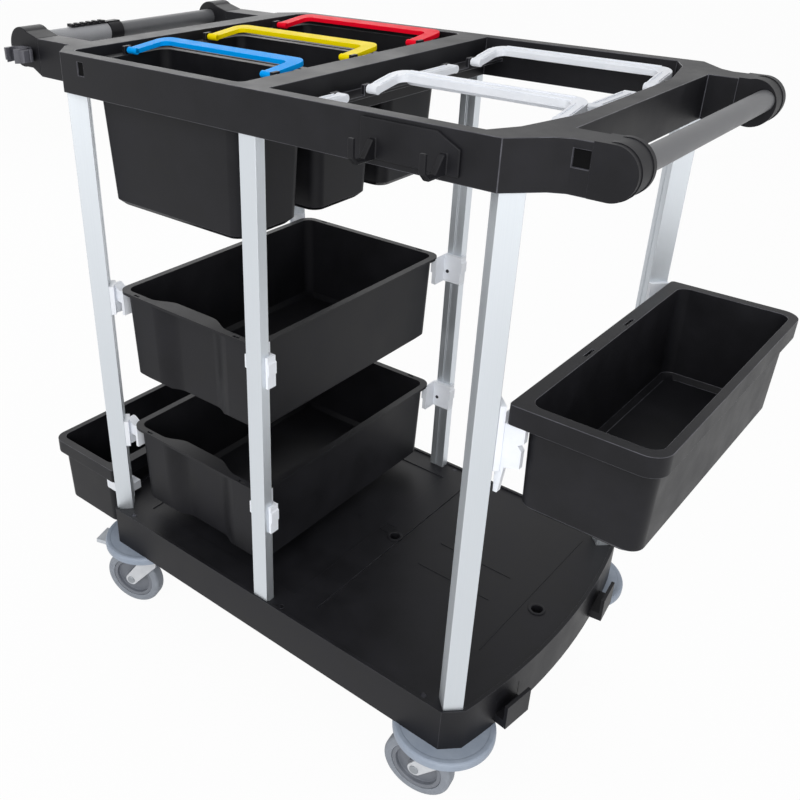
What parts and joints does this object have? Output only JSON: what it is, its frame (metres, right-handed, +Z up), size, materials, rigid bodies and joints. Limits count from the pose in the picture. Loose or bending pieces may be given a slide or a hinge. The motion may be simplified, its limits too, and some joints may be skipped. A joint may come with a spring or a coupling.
{
  "type": "janitor cart",
  "caption": "Wheeled cleaning cart: black deck and top frame on bright posts, with lift-out buckets, pull-out trays, hung end bins, bag bails and swivel castors.",
  "frame": {"origin": "on the floor, under the centre of the part's box", "axes": "+X along the cart towards the end with the high bin, +Y across it towards the far side, +Z up"},
  "size_m": [1.2071, 0.6359, 1.117],
  "materials": {
    "axle_steel": "zinc plated",
    "bail_blue_plastic": "gloss blue",
    "bail_red_plastic": "gloss red",
    "bail_yellow_plastic": "gloss yellow",
    "black_plastic": "recycled plastic, satin",
    "bumper_grey": "satin bluish grey",
    "clip_grey": "satin",
    "fork_steel": "light grey",
    "hub_plastic": "light grey",
    "pedal_plastic": "pale grey",
    "post_aluminium": "bright anodised",
    "screw_steel": "black",
    "sleeve_grey": "satin",
    "tube_grey": "satin grey powder coat",
    "tyre_grey": "grey non-marking rubber",
    "white_plastic": "gloss"
  },
  "bodies": {
    "cart": {"base_deck": "black_plastic", "deck_screws": "screw_steel", "deck_hooks": "black_plastic", "castor_bumpers": "bumper_grey", "post_near_left": "post_aluminium", "post_near_mid": "post_aluminium", "post_near_right": "post_aluminium", "post_far_left": "post_aluminium", "post_far_mid": "post_aluminium", "post_far_right": "post_aluminium", "top_frame": "black_plastic", "handle_cap_near_right": "black_plastic", "handle_cap_far_right": "black_plastic", "handle_cap_near_left": "black_plastic", "handle_cap_far_left": "black_plastic", "handle_tube_right": "tube_grey", "handle_tube_left": "tube_grey", "tube_sleeve": "sleeve_grey", "tube_clamp": "black_plastic", "mop_clip": "clip_grey", "tray_clips_upper": "white_plastic", "tray_clips_lower": "white_plastic", "bin_brackets_right": "white_plastic", "bin_brackets_left": "white_plastic", "hook_plate": "black_plastic"},
    "castor_near_left": {"castor_fork_near_left": "fork_steel", "castor_axle_near_left": "axle_steel"},
    "wheel_near_left": {"wheel_hub_near_left": "hub_plastic", "tyre_near_left": "tyre_grey"},
    "pedal_near_left": {"brake_pedal_near_left": "pedal_plastic"},
    "castor_near_right": {"castor_fork_near_right": "fork_steel", "castor_axle_near_right": "axle_steel"},
    "wheel_near_right": {"wheel_hub_near_right": "hub_plastic", "tyre_near_right": "tyre_grey"},
    "castor_far_left": {"castor_fork_far_left": "fork_steel", "castor_axle_far_left": "axle_steel"},
    "wheel_far_left": {"wheel_hub_far_left": "hub_plastic", "tyre_far_left": "tyre_grey"},
    "pedal_far_left": {"brake_pedal_far_left": "pedal_plastic"},
    "castor_far_right": {"castor_fork_far_right": "fork_steel", "castor_axle_far_right": "axle_steel"},
    "wheel_far_right": {"wheel_hub_far_right": "hub_plastic", "tyre_far_right": "tyre_grey"},
    "drawer_upper": {"tray_upper": "black_plastic"},
    "drawer_lower": {"tray_lower": "black_plastic"},
    "hung_bin_right": {"bin_right": "black_plastic"},
    "hung_bin_left": {"bin_left": "black_plastic"},
    "pail_near": {"bucket_near": "black_plastic"},
    "handle_blue": {"bail_blue": "bail_blue_plastic"},
    "pail_middle": {"bucket_middle": "black_plastic"},
    "handle_yellow": {"bail_yellow": "bail_yellow_plastic"},
    "pail_far": {"bucket_far": "black_plastic"},
    "handle_red": {"bail_red": "bail_red_plastic"},
    "bag_holder_near": {"bag_bail_near": "white_plastic"},
    "bag_holder_inner_near": {"bag_bail_inner_near": "white_plastic"},
    "bag_holder_inner_far": {"bag_bail_inner_far": "white_plastic"},
    "bag_holder_far": {"bag_bail_far": "white_plastic"}
  },
  "joints": [
    {"name": "swivel_near_left", "type": "hinge", "parent": "cart", "child": "castor_near_left", "pos_m": [-0.355, -0.229, 0.178], "axis": [0, 0, 1], "continuous": true},
    {"name": "roll_near_left", "type": "hinge", "parent": "castor_near_left", "child": "wheel_near_left", "pos_m": [-0.38924, -0.24013, 0.06], "axis": [-0.309, 0.9511, 0], "continuous": true},
    {"name": "press_near_left", "type": "hinge", "parent": "castor_near_left", "child": "pedal_near_left", "pos_m": [-0.39494, -0.24198, 0.14], "axis": [0.309, -0.9511, 0], "range_deg": [0, 12]},
    {"name": "swivel_near_right", "type": "hinge", "parent": "cart", "child": "castor_near_right", "pos_m": [0.355, -0.229, 0.178], "axis": [0, 0, 1], "continuous": true},
    {"name": "roll_near_right", "type": "hinge", "parent": "castor_near_right", "child": "wheel_near_right", "pos_m": [0.31935, -0.23401, 0.06], "axis": [-0.1392, 0.9903, 0], "continuous": true},
    {"name": "swivel_far_left", "type": "hinge", "parent": "cart", "child": "castor_far_left", "pos_m": [-0.355, 0.229, 0.178], "axis": [0, 0, 1], "continuous": true},
    {"name": "roll_far_left", "type": "hinge", "parent": "castor_far_left", "child": "wheel_far_left", "pos_m": [-0.39021, 0.22151, 0.06], "axis": [-0.2079, 0.9781, 0], "continuous": true},
    {"name": "press_far_left", "type": "hinge", "parent": "castor_far_left", "child": "pedal_far_left", "pos_m": [-0.39608, 0.22027, 0.14], "axis": [0.2079, -0.9781, 0], "range_deg": [0, 12]},
    {"name": "swivel_far_right", "type": "hinge", "parent": "cart", "child": "castor_far_right", "pos_m": [0.355, 0.229, 0.178], "axis": [0, 0, 1], "continuous": true},
    {"name": "roll_far_right", "type": "hinge", "parent": "castor_far_right", "child": "wheel_far_right", "pos_m": [0.31909, 0.22649, 0.06], "axis": [-0.0698, 0.9976, 0], "continuous": true},
    {"name": "pull_tray_upper", "type": "slide", "parent": "cart", "child": "drawer_upper", "axis": [0, -1, 0], "range_m": [0, 0.3]},
    {"name": "pull_tray_lower", "type": "slide", "parent": "cart", "child": "drawer_lower", "axis": [0, -1, 0], "range_m": [0, 0.3]},
    {"name": "lift_bin_right", "type": "slide", "parent": "cart", "child": "hung_bin_right", "axis": [0, 0, 1], "range_m": [0, 0.1]},
    {"name": "lift_bin_left", "type": "slide", "parent": "cart", "child": "hung_bin_left", "axis": [0, 0, 1], "range_m": [0, 0.1]},
    {"name": "lift_bucket_near", "type": "slide", "parent": "cart", "child": "pail_near", "axis": [0, 0, 1], "range_m": [0, 0.25]},
    {"name": "swing_bail_blue", "type": "hinge", "parent": "pail_near", "child": "handle_blue", "pos_m": [-0.1955, -0.172, 1.096], "axis": [1, 0, 0], "range_deg": [0, 168]},
    {"name": "lift_bucket_middle", "type": "slide", "parent": "cart", "child": "pail_middle", "axis": [0, 0, 1], "range_m": [0, 0.25]},
    {"name": "swing_bail_yellow", "type": "hinge", "parent": "pail_middle", "child": "handle_yellow", "pos_m": [-0.1955, 0, 1.096], "axis": [1, 0, 0], "range_deg": [0, 168]},
    {"name": "lift_bucket_far", "type": "slide", "parent": "cart", "child": "pail_far", "axis": [0, 0, 1], "range_m": [0, 0.25]},
    {"name": "swing_bail_red", "type": "hinge", "parent": "pail_far", "child": "handle_red", "pos_m": [-0.1955, 0.172, 1.096], "axis": [1, 0, 0], "range_deg": [0, 168]},
    {"name": "swing_bag_bail_near", "type": "hinge", "parent": "cart", "child": "bag_holder_near", "pos_m": [0.2105, -0.165, 1.082], "axis": [-1, 0, 0], "range_deg": [0, 84]},
    {"name": "swing_bag_bail_inner_near", "type": "hinge", "parent": "cart", "child": "bag_holder_inner_near", "pos_m": [0.2105, -0.097, 1.082], "axis": [1, 0, 0], "range_deg": [0, 84]},
    {"name": "swing_bag_bail_inner_far", "type": "hinge", "parent": "cart", "child": "bag_holder_inner_far", "pos_m": [0.2105, 0.097, 1.082], "axis": [-1, 0, 0], "range_deg": [0, 84]},
    {"name": "swing_bag_bail_far", "type": "hinge", "parent": "cart", "child": "bag_holder_far", "pos_m": [0.2105, 0.165, 1.082], "axis": [1, 0, 0], "range_deg": [0, 84]}
  ]
}
